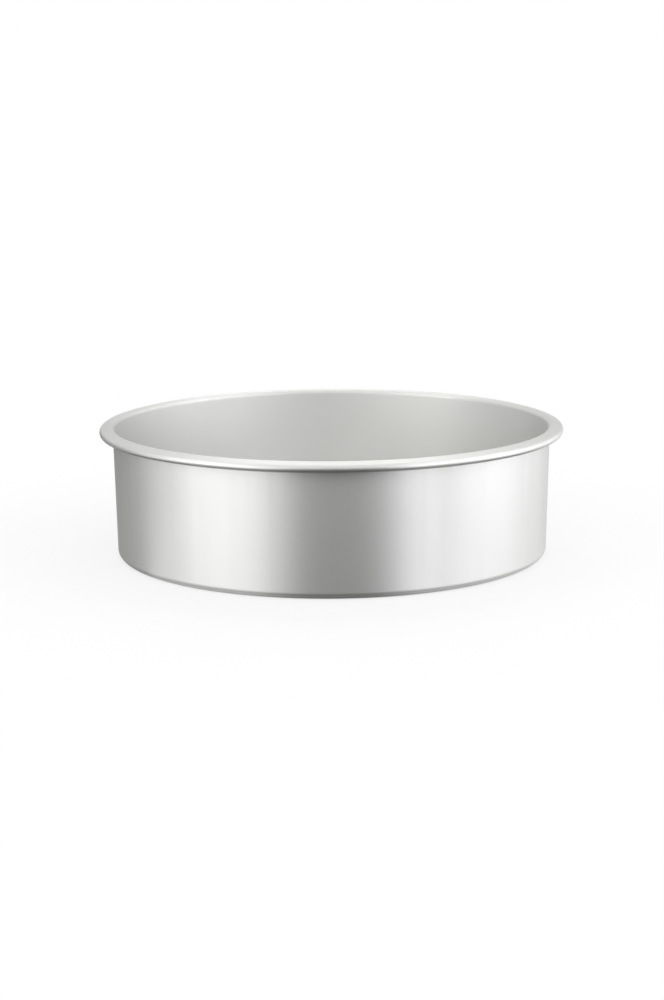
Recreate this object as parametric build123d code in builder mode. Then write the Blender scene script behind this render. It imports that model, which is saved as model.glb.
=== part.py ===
"""Round cake tin with a loose base, in silver anodised aluminium.

The tin body is one disc of sheet, drawn into a cup. Its floor is pierced, which leaves a ledge
all round, and its mouth is curled outwards into a hollow rim. The base is a separate pressed
disc that lies on the ledge and lifts out upwards with the cake on it.

The frame has +Z up, with the origin at the centre of the underside. Sizes are in millimetres.
"""

from build123d import *

import os
from math import acos, cos, degrees, radians, sin, tan

os.makedirs("parts", exist_ok=True)


# Tin body: a drawn cup with a pierced floor and a curled rim

tin_height = 76.6
mouth_radius = 127.0  # inside, where the wall meets the rim
wall_draft = 1.3  # degrees that the wall leans outwards
sheet = 1.0
corner_inside_radius = 3.0
ledge_width = 9.0  # flat width that the loose base lies on
ledge_edge_round = 0.3  # deburred edge of the pierced floor
rim_bend_radius = 2.8  # on the surface that shows inside the tin
rim_slope = 15.0  # degrees that the top of the rim falls away outwards
rim_top_width = 3.6  # along the slope, between the bend and the curl
curl_radius = 2.3  # outside of the curl
tuck_radius = 1.8  # outside of the turned-in end
tuck_turn = 80.0  # degrees that the end turns up into the rim
tuck_gap = 1.2  # between the turned-in end and the wall
tuck_edge_round = 0.2  # deburred end of the sheet

half_sheet = sheet / 2
draft_sin = sin(radians(wall_draft))
draft_cos = cos(radians(wall_draft))
corner_line_radius = corner_inside_radius + half_sheet
bend_line_radius = rim_bend_radius - half_sheet
wall_top = tin_height - half_sheet - bend_line_radius * (1 - draft_sin)
wall_foot = half_sheet + corner_line_radius * (1 - draft_sin)
wall_top_radius = mouth_radius + half_sheet * draft_cos
wall_foot_radius = wall_top_radius - (wall_top - wall_foot) * tan(radians(wall_draft))
ledge_outer_radius = wall_foot_radius - corner_line_radius * draft_cos
floor_hole_radius = ledge_outer_radius - ledge_width
tuck_start_radius = wall_top_radius + half_sheet + tuck_gap + tuck_radius

with BuildPart() as tin_body:
    with BuildSketch(Plane.XZ) as tin_section:
        with BuildLine():
            # The middle of the sheet, from the hole in the floor to the end hidden in the rim
            ledge = Line((floor_hole_radius, half_sheet), (ledge_outer_radius, half_sheet))
            corner = JernArc(ledge @ 1, ledge % 1, corner_line_radius, 90 - wall_draft)
            wall = Line(corner @ 1, (wall_top_radius, wall_top))
            bend = JernArc(wall @ 1, wall % 1, bend_line_radius, wall_draft - rim_slope - 90)
            rim_top = PolarLine(bend @ 1, rim_top_width, direction=bend % 1)
            curl = JernArc(rim_top @ 1, rim_top % 1, curl_radius - half_sheet, rim_slope - 180)
            underside = Line(curl @ 1, (tuck_start_radius, (curl @ 1).Y))
            tuck = JernArc(underside @ 1, underside % 1, tuck_radius - half_sheet, -tuck_turn)
        trace(line_width=sheet)
        fillet(tin_section.vertices().group_by(Axis.X)[0], radius=ledge_edge_round)
        fillet(tin_section.vertices().sort_by_distance(tuck @ 1)[:2], radius=tuck_edge_round)
    revolve(axis=Axis.Z)

tin_body.part.label = "tin_body"
export_step(tin_body.part, "parts/tin_body.step")


# Loose base: a flat disc whose middle is pressed down into the hole in the floor

base_sheet = 1.5
base_edge_round = 0.6  # deburred edge of the disc
base_edge_clearance = 0.3  # beside the corner inside the tin
panel_clearance = 0.5  # between the pressed middle and the edge of the hole
panel_bend_radius = 2.5  # on the middle of the sheet, of both bends of the step
panel_table_gap = 0.3  # the middle stays this far above what the tin stands on

half_base_sheet = base_sheet / 2
base_level = sheet + half_base_sheet
panel_level = panel_table_gap + half_base_sheet
base_radius = ledge_outer_radius + base_edge_round - base_edge_clearance
step_turn = degrees(acos(1 - (base_level - panel_level) / (2 * panel_bend_radius)))
step_outer_radius = floor_hole_radius - panel_clearance

with BuildPart() as loose_base:
    with BuildSketch(Plane.XZ) as base_section:
        with BuildLine():
            # The middle of the sheet, from the edge of the disc to its centre
            seat = Line((base_radius, base_level), (step_outer_radius, base_level))
            step_down = JernArc(seat @ 1, seat % 1, panel_bend_radius, step_turn)
            step_out = JernArc(step_down @ 1, step_down % 1, panel_bend_radius, -step_turn)
            Line(step_out @ 1, (0, panel_level))
        trace(line_width=base_sheet)
        fillet(base_section.vertices().group_by(Axis.X)[-1], radius=base_edge_round)
    revolve(axis=Axis.Z)

loose_base.part.label = "loose_base"
export_step(loose_base.part, "parts/loose_base.step")
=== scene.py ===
"""Round cake tin with a loose base, in satin silver anodised aluminium, on a pale studio floor.

Lengths are in metres, with +Z up and the origin at the centre of the tin's underside. Azimuths
of the studio are in degrees from the camera's side, to the right seen from the camera.
"""

import bpy
from math import acos, cos, hypot, pi, radians, sin, tan
from mathutils import Matrix, Vector


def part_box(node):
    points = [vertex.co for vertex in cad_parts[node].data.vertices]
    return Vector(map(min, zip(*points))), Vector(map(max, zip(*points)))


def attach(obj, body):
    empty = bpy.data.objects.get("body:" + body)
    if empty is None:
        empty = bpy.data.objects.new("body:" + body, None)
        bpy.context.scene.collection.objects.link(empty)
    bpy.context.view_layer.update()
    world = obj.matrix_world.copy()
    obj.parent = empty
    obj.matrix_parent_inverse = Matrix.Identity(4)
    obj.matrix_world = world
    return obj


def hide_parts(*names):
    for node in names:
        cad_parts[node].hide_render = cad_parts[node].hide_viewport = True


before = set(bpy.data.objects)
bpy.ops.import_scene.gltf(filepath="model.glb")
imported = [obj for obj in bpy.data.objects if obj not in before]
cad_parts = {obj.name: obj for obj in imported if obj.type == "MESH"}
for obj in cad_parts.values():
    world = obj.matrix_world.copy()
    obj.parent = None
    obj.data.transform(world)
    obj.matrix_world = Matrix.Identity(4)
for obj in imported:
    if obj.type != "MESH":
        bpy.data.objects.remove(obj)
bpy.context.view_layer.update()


# Tin body. One disc of aluminium sheet, deep drawn into a cup and satin anodised. Its floor is
# pierced, which leaves a ledge for the loose base, and its mouth is curled by a roller into a
# hollow rim.

tin_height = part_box("tin_body")[1].z
mouth_radius = 0.127  # inside, where the wall meets the rim
wall_draft = radians(1.3)
tin_sheet = 0.001
half_tin_sheet = tin_sheet / 2
corner_radius = 0.003 + half_tin_sheet  # on the middle of the sheet, as the next two are
rim_bend_radius = 0.0028 - half_tin_sheet
curl_radius = 0.0023 - half_tin_sheet
ledge_width = 0.009
ledge_edge_round = 0.0003
rim_slope = radians(15)
rim_top_width = 0.0036
tuck_outside_radius = 0.0018
tuck_turn = radians(80)
tuck_gap = 0.0012
tuck_edge_round = 0.0002

wall_top = tin_height - half_tin_sheet - rim_bend_radius * (1 - sin(wall_draft))
wall_foot = half_tin_sheet + corner_radius * (1 - sin(wall_draft))
wall_top_radius = mouth_radius + half_tin_sheet * cos(wall_draft)
wall_foot_radius = wall_top_radius - (wall_top - wall_foot) * tan(wall_draft)
ledge_outer_radius = wall_foot_radius - corner_radius * cos(wall_draft)
floor_hole_radius = ledge_outer_radius - ledge_width
tuck_start_radius = wall_top_radius + half_tin_sheet + tuck_gap + tuck_outside_radius


class SheetSection:
    """The middle of a sheet in section, followed from one cut edge to the other."""

    def __init__(self, radius, height, heading):
        self.stations = [(radius, height, heading)]

    def straight(self, length, pitch=0.002, hold=0.0002):
        """Goes straight on, with stations close to both ends that hold the next bends in shape."""
        radius, height, heading = self.stations[-1]
        count = max(1, round((length - 2 * hold) / pitch))
        inner = [hold + (length - 2 * hold) * step / count for step in range(count + 1)]
        for gone in inner + [length]:
            gone_radius, gone_height = gone * cos(heading), gone * sin(heading)
            self.stations.append((radius + gone_radius, height + gone_height, heading))

    def bend(self, bend_radius, turn, facet=radians(6)):
        """Goes round an arc, to the left where the turn is positive."""
        radius, height, heading = self.stations[-1]
        side = 1 if turn > 0 else -1
        centre_radius = radius - side * bend_radius * sin(heading)
        centre_height = height + side * bend_radius * cos(heading)
        count = max(4, round(abs(turn) / facet))
        for step in range(1, count + 1):
            now = heading + turn * step / count
            now_radius = centre_radius + side * bend_radius * sin(now)
            now_height = centre_height - side * bend_radius * cos(now)
            self.stations.append((now_radius, now_height, now))

    def face(self, offset, skipped):
        """The sheet's face that far left of its middle, without what the rounded edges take."""
        points = []
        for radius, height, heading in self.stations:
            gaps = [hypot(radius - self.stations[end][0], height - self.stations[end][1])
                    for end, width in skipped]
            if all(gap > width for gap, (end, width) in zip(gaps, skipped)):
                points.append((radius - offset * sin(heading), height + offset * cos(heading)))
        return points

    def cut_edge(self, end, half_sheet, rounding, onward, steps=4):
        """The rounded edge at one end, from the left face to the right face."""
        radius, height, heading = self.stations[end]
        points = []
        for side in (1, -1):
            for step in range(steps + 1):
                turn = pi / 2 * (step if side > 0 else steps - step) / steps
                ahead = onward * rounding * (sin(turn) - 1)
                across = side * (half_sheet - rounding + rounding * cos(turn))
                points.append((radius + ahead * cos(heading) - across * sin(heading),
                               height + ahead * sin(heading) + across * cos(heading)))
        return points


def spin(name, outline, is_loop, around=256, map_margin=0.01):
    """Turns an outline about the tin's axis into a closed mesh, with a map of its four quarters."""
    map_side = 0.5 - 2 * map_margin
    points, rings = [], []
    for radius, height in outline:
        turns = around if radius > 0 else 1
        rings.append(range(len(points), len(points) + turns))
        for turn in range(turns):
            angle = 2 * pi * turn / around
            points.append((radius * cos(angle), radius * sin(angle), height))
    gone = [0.0]
    for (radius, height), (next_radius, next_height) in zip(outline, outline[1:] + outline[:1]):
        gone.append(gone[-1] + hypot(next_radius - radius, next_height - height))
    length = gone[-1] if is_loop else gone[-2]
    faces, places = [], []
    quarter_turns = around // 4
    for index in range(len(outline) if is_loop else len(outline) - 1):
        ring, next_ring = rings[index], rings[(index + 1) % len(rings)]
        for turn in range(around):
            quarter = turn // quarter_turns
            corners = [(ring, turn, index), (ring, turn + 1, index),
                       (next_ring, turn + 1, index + 1), (next_ring, turn, index + 1)]
            face = []
            for row, column, station in corners:
                vertex = row[column % len(row)]
                if vertex in face:
                    continue
                face.append(vertex)
                share_round = (column - quarter * quarter_turns) / quarter_turns
                share_along = gone[station] / length
                places.append((quarter % 2 / 2 + map_margin + map_side * share_round,
                               quarter // 2 / 2 + map_margin + map_side * share_along))
            faces.append(face)
    mesh = bpy.data.meshes.new(name)
    mesh.from_pydata(points, [], faces)
    bake_map = mesh.uv_layers.new(name="OFBake")
    for corner, place in zip(bake_map.data, places):
        corner.uv = place
    mesh.shade_smooth()
    piece = bpy.data.objects.new(name, mesh)
    bpy.context.scene.collection.objects.link(piece)
    return piece


class Signal:
    """A socket that numbers come out of, so that sums on it are written as in arithmetic."""

    def __init__(self, nodes, socket):
        self.nodes, self.socket = nodes, socket

    def combine(self, operation, first, second):
        return self.nodes.node("ShaderNodeMath", {"operation": operation}, {0: first, 1: second})

    def __add__(self, other):
        return self.combine("ADD", self, other)

    def __sub__(self, other):
        return self.combine("SUBTRACT", self, other)

    def __rsub__(self, other):
        return self.combine("SUBTRACT", other, self)

    def __mul__(self, other):
        return self.combine("MULTIPLY", self, other)

    __radd__ = __add__
    __rmul__ = __mul__

    def ramp(self, start, end):
        """A soft step, which is 0 at the start and 1 at the end."""
        return self.nodes.node("ShaderNodeMapRange", {"interpolation_type": "SMOOTHSTEP"},
                               {"Value": self, "From Min": start, "From Max": end})


class Nodes:
    """The nodes of a finish, or of the room's light, which are added one at a time."""

    def __init__(self, owner):
        owner.use_nodes = True
        self.owner, self.tree = owner, owner.node_tree

    def node(self, kind, settings={}, sockets={}, output=0):
        """Adds a node, with its settings first and then the values or links of its sockets."""
        node = self.tree.nodes.new(kind)
        for setting, value in settings.items():
            setattr(node, setting, value)
        self.fill(node, sockets)
        return Signal(self, node.outputs[output])

    def fill(self, node, sockets):
        """Sets a node's sockets to values, or links them to signals."""
        for name, value in sockets.items():
            if isinstance(value, Signal):
                self.tree.links.new(value.socket, node.inputs[name])
            else:
                node.inputs[name].default_value = value

    def vector(self, operation, first, second=(0, 0, 0), third=(0, 0, 0)):
        return self.node("ShaderNodeVectorMath", {"operation": operation},
                         {0: first, 1: second, 2: third})

    def noise(self, place, scale, detail=2.0):
        """Smooth noise about 0.5, with that many grains to a metre."""
        return self.node("ShaderNodeTexNoise", {}, {"Vector": place, "Scale": scale, "Detail": detail})

    def mix(self, factor, first, second):
        """One colour turning into another."""
        return self.node("ShaderNodeMix", {"data_type": "RGBA"},
                         {"Factor": factor, 6: (*first, 1), 7: (*second, 1)}, output=2)

    def aluminium(self, color, duller_color, cloud, roughness, height, depth, streak):
        """Fills the shader of anodised aluminium: two close tones, its roughness and its relief."""
        normal = self.node("ShaderNodeBump", {}, {"Height": height, "Distance": depth})
        shader = self.tree.nodes["Principled BSDF"]
        self.fill(shader, {"Base Color": self.mix(cloud, color, duller_color), "Metallic": 1.0,
                           "Roughness": roughness, "Normal": normal,
                           "Specular Tint": (0.75, 0.75, 0.75, 1),  # the oxide is darker at a glance
                           "Anisotropic": streak, "Anisotropic Rotation": 0.25})


section = SheetSection(floor_hole_radius, half_tin_sheet, 0)
section.straight(ledge_width, hold=0.0005)
section.bend(corner_radius, pi / 2 - wall_draft)
section.straight((wall_top - wall_foot) / cos(wall_draft))
section.bend(rim_bend_radius, wall_draft - rim_slope - pi / 2)
section.straight(rim_top_width, pitch=0.0012)
section.bend(curl_radius, rim_slope - pi)
section.straight(section.stations[-1][0] - tuck_start_radius, pitch=0.0012)
section.bend(tuck_outside_radius - half_tin_sheet, -tuck_turn)
ends = [(0, ledge_edge_round), (-1, tuck_edge_round)]
inner_face = section.face(half_tin_sheet, ends)
outer_face = section.face(-half_tin_sheet, ends)
tucked_edge = section.cut_edge(-1, half_tin_sheet, tuck_edge_round, 1)
pierced_edge = section.cut_edge(0, half_tin_sheet, ledge_edge_round, -1)
body = spin("drawn_body", inner_face + tucked_edge + outer_face[::-1] + pierced_edge[::-1], True)

silver = (0.80, 0.801, 0.787)
duller_silver = (0.775, 0.776, 0.76)
relief_depth = 0.00001
turned_streak = 0.7

satin = Nodes(bpy.data.materials.new("satin_anodised_body"))
place = satin.node("ShaderNodeTexCoord", output="Object")
height = satin.node("ShaderNodeSeparateXYZ", {}, {"Vector": place}, "Z")
flat_place = satin.vector("MULTIPLY", place, (1, 1, 0))
round_place = satin.vector("NORMALIZE", flat_place)
radius = satin.node("ShaderNodeVectorMath", {"operation": "LENGTH"}, {0: flat_place}, "Value")

# The outside and the rim were turned to a satin, in fine lines that run round the tin, over the
# faint upright marks of the die. The inside is duller, and the roller left the curl's lower half
# smoother. Handling has rubbed the rim, and the table the underside of the ledge, a little smoother
# in small patches.
middle_radius = wall_top_radius - (wall_top - height) * tan(wall_draft)
outside = (radius - middle_radius).ramp(-0.1 * half_tin_sheet, 0.5 * half_tin_sheet)
on_rim = height.ramp(wall_top - 0.001, wall_top + 0.0005)
under_curl_start = wall_top_radius + half_tin_sheet
beyond_wall = radius.ramp(under_curl_start, under_curl_start + tuck_gap)
under_curl = beyond_wall * (1 - on_rim)
outer_wall = outside * (1 - on_rim)
turned_place = satin.node("ShaderNodeCombineXYZ", {}, {"X": radius, "Y": height})
slow_turn = satin.vector("MULTIPLY", round_place, (0.004, 0.004, 0))
turned_lines = satin.noise(satin.vector("ADD", turned_place, slow_turn), 3000)
along_wall = satin.vector("MULTIPLY", place, (0, 0, 0.03))
die_marks = satin.noise(satin.vector("MULTIPLY_ADD", round_place, (mouth_radius,) * 3, along_wall), 170, 3)
grain = satin.noise(place, 2600, 3)
cloud = satin.noise(place, 14)
touched = on_rim + 1 - height.ramp(0, half_tin_sheet)
rubs = satin.noise(place, 260, 4).ramp(0.56, 0.66) * touched
tone = cloud + 0.5 * ((die_marks - 0.5) * outer_wall)
relief = 0.2 * grain + 0.3 * (turned_lines * outer_wall) + 0.06 * (turned_lines * on_rim)
dull = 0.60 - 0.15 * outer_wall - 0.10 * on_rim - 0.09 * under_curl
roughness = dull + 0.04 * (cloud - 0.5) + 0.06 * ((die_marks - 0.5) * outer_wall) - 0.05 * rubs
satin.aluminium(silver, duller_silver, tone.ramp(0.35, 0.65), roughness, relief,
                relief_depth, turned_streak)
body.data.materials.append(satin.owner)
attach(body, "tin")
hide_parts("tin_body")


# Loose base. A heavier disc of the same aluminium, pressed so that its middle drops into the hole
# of the ledge, and anodised like the tin. It isn't fixed, and lifts out with the cake on it. Its
# flat faces keep the straight grain of the rolled sheet.

base_sheet = 0.0015
half_base_sheet = base_sheet / 2
base_edge_round = 0.0006
base_edge_clearance = 0.0003
panel_clearance = 0.0005
panel_bend_radius = 0.0025
panel_table_gap = 0.0003

base_level = tin_sheet + half_base_sheet
panel_level = panel_table_gap + half_base_sheet
base_radius = ledge_outer_radius + base_edge_round - base_edge_clearance
step_turn = acos(1 - (base_level - panel_level) / (2 * panel_bend_radius))
step_outer_radius = floor_hole_radius - panel_clearance

section = SheetSection(base_radius, base_level, pi)
section.straight(base_radius - step_outer_radius, hold=0.001)
section.bend(panel_bend_radius, step_turn)
section.bend(panel_bend_radius, -step_turn)
section.straight(section.stations[-1][0], pitch=0.004)
ends = [(0, base_edge_round)]
top_face = section.face(-half_base_sheet, ends)
under_face = section.face(half_base_sheet, ends)
disc_edge = section.cut_edge(0, half_base_sheet, base_edge_round, -1)
top_face[-1] = (0, top_face[-1][1])
under_face[-1] = (0, under_face[-1][1])
disc = spin("base_disc", top_face[::-1] + disc_edge[::-1] + under_face, False)

duller_base_silver = (0.765, 0.766, 0.75)

rolled = Nodes(bpy.data.materials.new("satin_anodised_base"))
place = rolled.node("ShaderNodeTexCoord", output="Object")
sheet_lines = rolled.noise(rolled.vector("MULTIPLY", place, (0.03, 1, 1)), 1100, 3)
grain = rolled.noise(place, 2600, 3)
cloud = rolled.noise(place, 16)
tone = cloud + 0.8 * (sheet_lines - 0.5)
roughness = 0.56 + 0.06 * (cloud - 0.5) + 0.12 * (sheet_lines - 0.5)
relief = 0.3 * grain + 0.5 * sheet_lines
rolled.aluminium(silver, duller_base_silver, tone.ramp(0.3, 0.7), roughness, relief, relief_depth, 0.0)
disc.data.materials.append(rolled.owner)
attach(disc, "base")
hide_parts("loose_base")


# Studio floor, a plain white gloss board. The camera sees the tin's light shadow on it, and plain
# white further off. In the metal it is white where it mirrors the room at a low angle. Close to the
# tin, where the metal looks steeply down at it, as under the rim and at the foot, the metal sees it
# darkened: that is painted shade, standing in for the tin's shade on the floor there.

floor_reach = 12.0
floor_drop = 0.0001  # under the tin, so that their faces don't coincide
shadow_radius = 0.15
least_white = 0.72  # of what the camera sees, so that the shadow is a light one
plain_radius = 0.36
# How far out from the tin the painted shade in the metal reaches, and how dark it gets at most.
painted_shade_radius = 0.4
painted_shade_depth = 0.85
low_look = sin(radians(15))
steep_look = sin(radians(36))

floor_mesh = bpy.data.meshes.new("studio_floor")
floor_mesh.from_pydata([(side * floor_reach, end * floor_reach, 0) for side, end in
                        ((-1, -1), (1, -1), (1, 1), (-1, 1))], [], [(0, 1, 2, 3)])
floor = bpy.data.objects.new("studio_floor", floor_mesh)
bpy.context.scene.collection.objects.link(floor)
floor.location.z = -2 * floor_drop
paper = Nodes(bpy.data.materials.new("white_floor"))
by_camera = paper.node("ShaderNodeLightPath", output="Is Camera Ray")
by_metal = paper.node("ShaderNodeLightPath", output="Is Glossy Ray") + paper.node(
    "ShaderNodeLightPath", output="Is Transmission Ray")
place = paper.node("ShaderNodeTexCoord", output="Object")
away = paper.node("ShaderNodeVectorMath", {"operation": "LENGTH"}, {0: place}, output="Value")
look = 1 - paper.node("ShaderNodeLayerWeight", {}, {"Blend": 0.5}, "Facing")  # 1 from straight above
plain = least_white + (1 - least_white) * away.ramp(shadow_radius, plain_radius)
# Painted shade, seen only by the metal: the floor's white is turned down close to the tin, where it is
# looked at steeply.
painted_shade_in_metal = by_metal * look.ramp(low_look, steep_look) * (1 - away.ramp(shadow_radius, painted_shade_radius))
white = paper.node("ShaderNodeEmission", {},
                   {"Color": (1, 1, 1, 1), "Strength": 1 - painted_shade_depth * painted_shade_in_metal})
lit = paper.tree.nodes["Principled BSDF"]
paper.fill(lit, {"Base Color": (0.85, 0.85, 0.85, 1), "Roughness": 0.9, "Specular IOR Level": 0.1})
shown = paper.node("ShaderNodeMixShader", {}, {"Fac": by_metal + by_camera * plain,
                                               1: Signal(paper, lit.outputs["BSDF"]), 2: white})
paper.fill(paper.tree.nodes["Material Output"], {"Surface": shown})
paper.owner.cycles.emission_sampling = "NONE"
floor_mesh.materials.append(paper.owner)


# Black cards, which show only in the metal. One in front of the tin makes the dark middle of the
# wall, and one behind it on the left darkens the wall's left edge. Each fans out from the place on
# the floor that its soft edges have to run from, so that the round wall mirrors them upright.

def on_floor(azimuth, away):
    """The place on the floor in that direction from the tin's axis."""
    return away * sin(radians(azimuth)), -away * cos(radians(azimuth))


fold_height = 0.02  # over which a card turns from its share of black to all black


def black_card(name, apex, azimuth, half_width, soft_width, length, height, share):
    """A card with soft edges that fans out over the floor from its apex, and up at its far end.

    It covers its share of the floor, and all that is behind the upright part.
    """
    ahead = Vector((sin(radians(azimuth)), -cos(radians(azimuth)), 0))
    rim = [radians(azimuth + turn) for turn in range(-90, 91, 15)]
    points = [(length * sin(turn), -length * cos(turn), up) for up in (0, height) for turn in rim]
    faces = [range(len(rim))]
    faces += [(step, step + 1, step + 1 + len(rim), step + len(rim)) for step in range(len(rim) - 1)]
    mesh = bpy.data.meshes.new(name)
    mesh.from_pydata(points, [], faces)
    card = bpy.data.objects.new(name, mesh)
    bpy.context.scene.collection.objects.link(card)
    card.location = (*apex, -floor_drop)
    card.visible_camera = False
    card.visible_diffuse = False
    card.visible_shadow = False
    black = Nodes(bpy.data.materials.new(name))
    place = black.node("ShaderNodeTexCoord", output="Object")
    flat = black.vector("NORMALIZE", black.vector("MULTIPLY", place, (1, 1, 0)))
    facing = black.node("ShaderNodeVectorMath", {"operation": "DOT_PRODUCT"}, {0: flat, 1: ahead},
                        output="Value")
    outer_edge, inner_edge = half_width + soft_width / 2, half_width - soft_width / 2
    cover = facing.ramp(cos(radians(outer_edge)), cos(radians(inner_edge)))
    upright = black.node("ShaderNodeSeparateXYZ", {}, {"Vector": place}, "Z").ramp(0, fold_height)
    clear = black.node("ShaderNodeBsdfTransparent")
    matt = black.tree.nodes["Principled BSDF"]
    black.fill(matt, {"Base Color": (0.02, 0.02, 0.02, 1), "Roughness": 1.0, "Specular IOR Level": 0.0})
    shown = black.node("ShaderNodeMixShader", {}, {"Fac": cover * (share + (1 - share) * upright),
                                                   1: clear, 2: Signal(black, matt.outputs["BSDF"])})
    black.fill(black.tree.nodes["Material Output"], {"Surface": shown})
    mesh.materials.append(black.owner)


black_card("black_card_front", on_floor(1, wall_top_radius / 2), 1, 27.5, 33, 1.2, 0.25, 0.77)
black_card("black_card_left", on_floor(-46, 0.9 * wall_top_radius), -142, 30, 32, 0.6, 0.1, 0.53)


# Studio light: soft boxes low on both sides of the tin, and high in front of it, behind and beside
# it, those on the right a little cooler, and a white room that is darker overhead.

lamp_distance = 1.3


def soft_box(name, azimuth, elevation, width, height, watts, color=(1, 1, 1)):
    """A soft box that faces the tin from that direction."""
    light = bpy.data.lights.new(name, "AREA")
    light.shape = "RECTANGLE"
    light.size, light.size_y = width, height
    light.energy = watts
    light.color = color
    box = bpy.data.objects.new(name, light)
    bpy.context.scene.collection.objects.link(box)
    toward = Vector((sin(radians(azimuth)) * cos(radians(elevation)),
                     -cos(radians(azimuth)) * cos(radians(elevation)), sin(radians(elevation))))
    box.location = toward * lamp_distance
    box.rotation_euler = toward.to_track_quat("Z", "Y").to_euler()
    box.visible_camera = False
    return box


low_elevation = 8
cool = (0.95, 0.955, 1)
soft_box("soft_box_left", -59, low_elevation, 0.9, 0.34, 2.3)
soft_box("soft_box_front_left", -29, low_elevation, 0.42, 0.34, 1.1)
soft_box("soft_box_front_right", 40, low_elevation, 0.65, 0.34, 1.5, cool)
soft_box("soft_box_right", 85, low_elevation, 1.1, 0.34, 2.95, cool)
soft_box("soft_box_back_right", 127, low_elevation, 0.6, 0.34, 0.8, cool)
soft_box("soft_box_right_high", 70, 38, 1.5, 0.5, 2.3, cool)
soft_box("soft_box_left_high", -62, 32, 0.9, 0.45, 1.2)
soft_box("soft_box_back_high", 180, 62, 0.9, 0.6, 2.2)
soft_box("soft_box_front_high", 0, 45, 0.9, 0.5, 1.0)


overhead_white = 0.8
wall_sine = sin(radians(12))
ceiling_sine = sin(radians(45))
room = Nodes(bpy.data.worlds.new("room"))
bpy.context.scene.world = room.owner
direction = room.node("ShaderNodeTexCoord", output="Generated")
up = room.node("ShaderNodeSeparateXYZ", {}, {"Vector": direction}, "Z")
tone = room.mix(up.ramp(wall_sine, ceiling_sine), (1, 1, 1), (overhead_white,) * 3)
room.fill(room.tree.nodes["Background"], {"Color": tone, "Strength": 1.0})


# Camera, where the photograph's was: its height, distance and roll were fitted to the outlines of
# the rim, the mouth and the foot.

aim_height = 0.07561
camera_elevation = radians(11.07)
camera_distance = 1.3
camera_roll = radians(-0.386)
focal_pixels = 2198.6  # in the photograph's frame, which is 1000 pixels high

lens = bpy.data.cameras.new("camera")
lens.sensor_width = 36
lens.lens = focal_pixels * lens.sensor_width / 1000
lens.shift_x = 0.0003
lens.shift_y = -0.01376
camera = bpy.data.objects.new("camera", lens)
bpy.context.scene.collection.objects.link(camera)
bpy.context.scene.camera = camera
back = Vector((0, -cos(camera_elevation), sin(camera_elevation)))
camera.location = Vector((0, 0, aim_height / 2)) + back * camera_distance
camera.rotation_mode = "QUATERNION"
roll = Matrix.Rotation(camera_roll, 3, "Z").to_quaternion()
camera.rotation_quaternion = back.to_track_quat("Z", "Y") @ roll
bpy.context.scene.view_settings.view_transform = "Standard"
